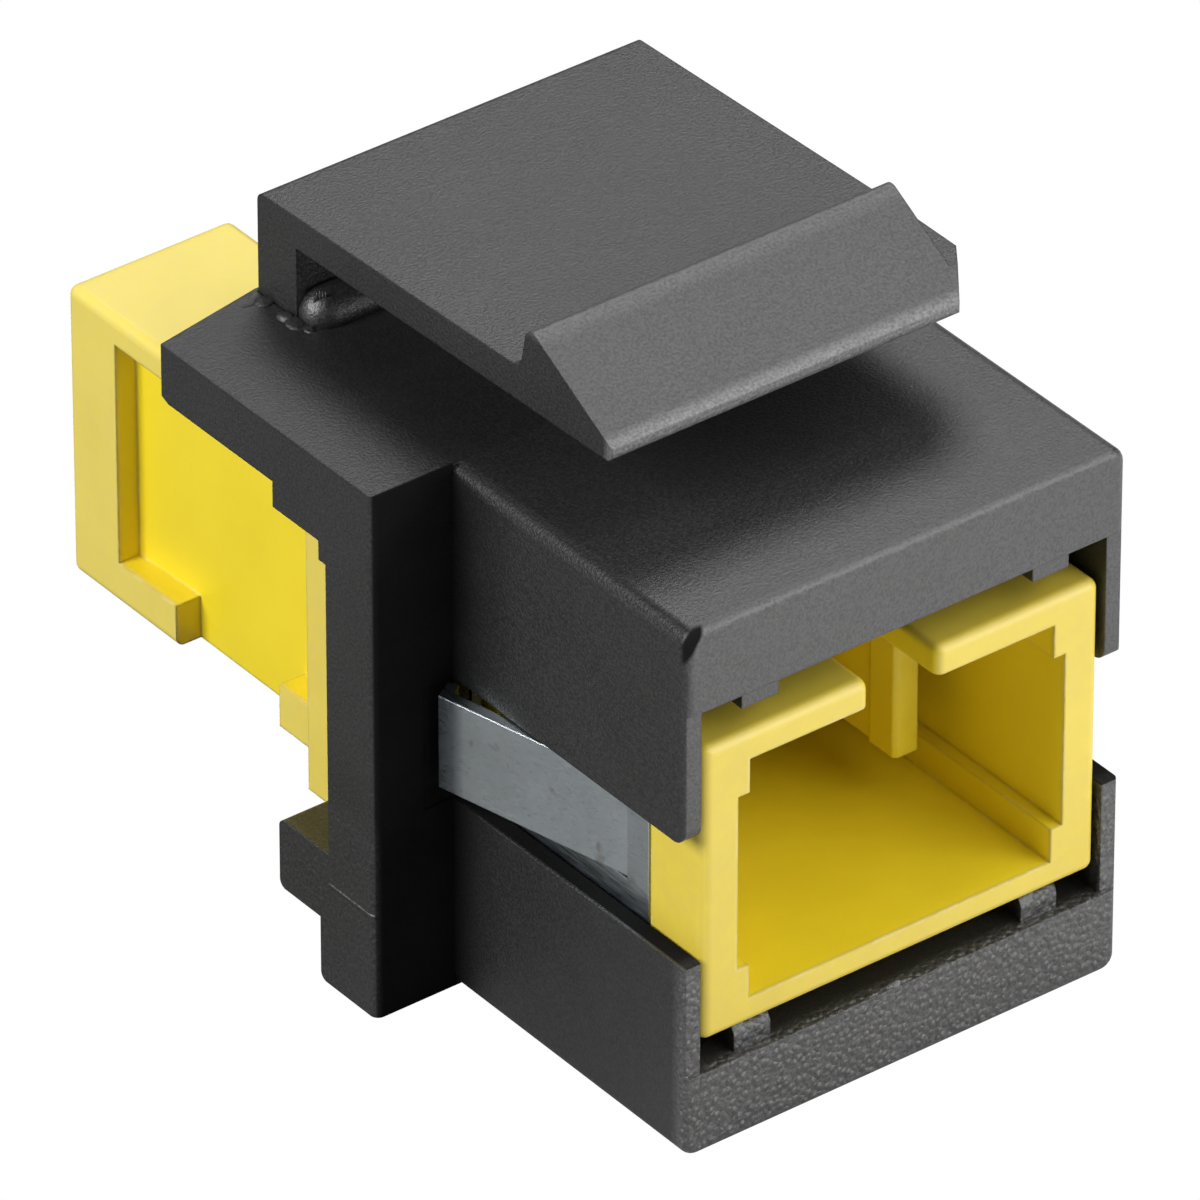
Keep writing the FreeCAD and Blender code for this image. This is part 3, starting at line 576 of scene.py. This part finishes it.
# Flash on the shelf round the foot of the leg: centre, then half sizes
FLASH = (
    ((-6.45, 7.86, 16.60), (0.28, 0.34, 0.10)),
    ((-6.34, 7.42, 16.60), (0.16, 0.22, 0.07)),
    ((-6.50, 8.30, 16.60), (0.20, 0.32, 0.12)),
    ((-6.80, 9.36, 16.58), (0.36, 0.10, 0.05)),
    ((-6.48, 9.22, 16.60), (0.26, 0.22, 0.12)),
)

# Gate mark and flecks on the front edge of the lower bar
GATE_MARKS = (
    ((-0.15, -9.89, 2.52), (0.55, 0.09, 0.13)),
    ((-0.95, -9.91, 2.50), (0.30, 0.07, 0.09)),
    ((-2.10, -9.92, 2.50), (0.16, 0.06, 0.08)),
    ((-2.60, -9.92, 2.51), (0.10, 0.06, 0.06)),
)


def add_small_marks():
    points, faces = rod(RIB_START, RIB_END, RIB_RADIUS)
    points = [(x, y + RIB_Y, z + RIB_Z) for x, y, z in points]
    make_piece("leg_rib", points, faces, CHARCOAL, "housing")
    middle = Vector((RIB_START + RIB_RADIUS, RIB_Y, RIB_Z))
    for index, (sideways, upward, radii) in enumerate(THREADS, start=1):
        way = (OUTWARD + sideways * SIDEWAYS + upward * UPWARD).normalized()
        points, faces = ellipsoid(middle + way * RIB_RADIUS, radii, 0.2)
        make_piece(f"thread_{index}", points, faces, THREAD_CHARCOAL_HIGHLIT, "housing")
    for label, marks in (("flash", FLASH), ("gate_mark", GATE_MARKS)):
        for index, (centre, radii) in enumerate(marks, start=1):
            points, faces = ellipsoid(centre, radii, 0.15)
            make_piece(f"{label}_{index}", points, faces, CHARCOAL, "housing")


# Floor, backdrop and light

FLOOR_REACH = 3.0
FLOOR_DROP = 0.02 * MM
FLOOR_SHADED = (0.12, 0.12, 0.12)
FLOOR_PALE = (0.98, 0.98, 0.98)
FLOOR_ROUGHNESS = 0.9
# The floor's colour falls off into painted shade towards the back left, seen only in bounced
# light and reflections: its pale way, and how far along it in millimetres the shade ends and the
# full paleness begins
PALE_WAY = (0.7, -0.7, 0.0)
SHADE_ENDS = -12.0
PALENESS_BEGINS = 24.0
WORLD_STRENGTH = 0.14


def white_to_camera(tree, kind, surface, target):
    """Show plain white to the camera and the given surface to all other light."""
    path = add_node(tree, "ShaderNodeLightPath")
    white = add_node(tree, kind, {"Color": WHITE, "Strength": 1.0})
    mix = add_node(tree, "ShaderNodeMixShader")
    tree.links.new(path.outputs["Is Camera Ray"], mix.inputs["Fac"])
    tree.links.new(surface, mix.inputs[1])
    tree.links.new(white.outputs[0], mix.inputs[2])
    tree.links.new(mix.outputs["Shader"], tree.nodes[target].inputs["Surface"])


def add_floor():
    mesh = bpy.data.meshes.new("floor")
    corners = [(x * FLOOR_REACH, y * FLOOR_REACH, 0) for x, y in
               ((-1, -1), (1, -1), (1, 1), (-1, 1))]
    mesh.from_pydata(corners, [], [(0, 1, 2, 3)])
    floor = bpy.data.objects.new("floor", mesh)
    bpy.context.scene.collection.objects.link(floor)
    floor.location.z = -FLOOR_DROP
    material, tree, shader = new_material("pale_floor")
    place = object_place(tree)
    across = add_node(tree, "ShaderNodeVectorMath", operation="DOT_PRODUCT")
    across.inputs[1].default_value = PALE_WAY
    tree.links.new(place, across.inputs[0])
    paleness = remap(tree, across.outputs["Value"], SHADE_ENDS, PALENESS_BEGINS)
    tree.links.new(mix_colour(tree, paleness, FLOOR_SHADED, FLOOR_PALE),
                   shader.inputs["Base Color"])
    shader.inputs["Roughness"].default_value = FLOOR_ROUGHNESS
    white_to_camera(tree, "ShaderNodeEmission", shader.outputs["BSDF"], "Material Output")
    mesh.materials.append(material)


def add_world():
    world = bpy.data.worlds.new("studio")
    bpy.context.scene.world = world
    world.use_nodes = True
    tree = world.node_tree
    soft = tree.nodes["Background"]
    soft.inputs["Color"].default_value = WHITE
    soft.inputs["Strength"].default_value = WORLD_STRENGTH
    white_to_camera(tree, "ShaderNodeBackground", soft.outputs["Background"], "World Output")


# Lamps: name, place in metres, size in metres and power in watts
LAMPS = (
    ("sky_light", (0.38, 0.45, 0.71), 0.40, 2.25),
    ("ramp_light", (0.40, -0.22, 0.68), 0.50, 2.35),
    ("high_front_light", (0.10, -0.60, 0.60), 0.40, 2.0),
    ("left_light", (-0.70, 0.14, 0.46), 0.40, 8.1),
    ("front_light", (0.46, -0.62, 0.22), 0.40, 3.15),
)


def add_lamp(name, place, size, power):
    """Soft square lamp that faces the object."""
    data = bpy.data.lights.new(name, "AREA")
    data.size = size
    data.energy = power
    lamp = bpy.data.objects.new(name, data)
    bpy.context.scene.collection.objects.link(lamp)
    lamp.location = place
    lamp.rotation_mode = "QUATERNION"
    lamp.rotation_quaternion = (Vector(place) - CAMERA_TARGET).to_track_quat("Z", "Y")


bpy.context.scene.view_settings.view_transform = "Standard"
finish_nodes()
add_small_marks()
add_camera()
add_floor()
add_world()
for lamp_values in LAMPS:
    add_lamp(*lamp_values)
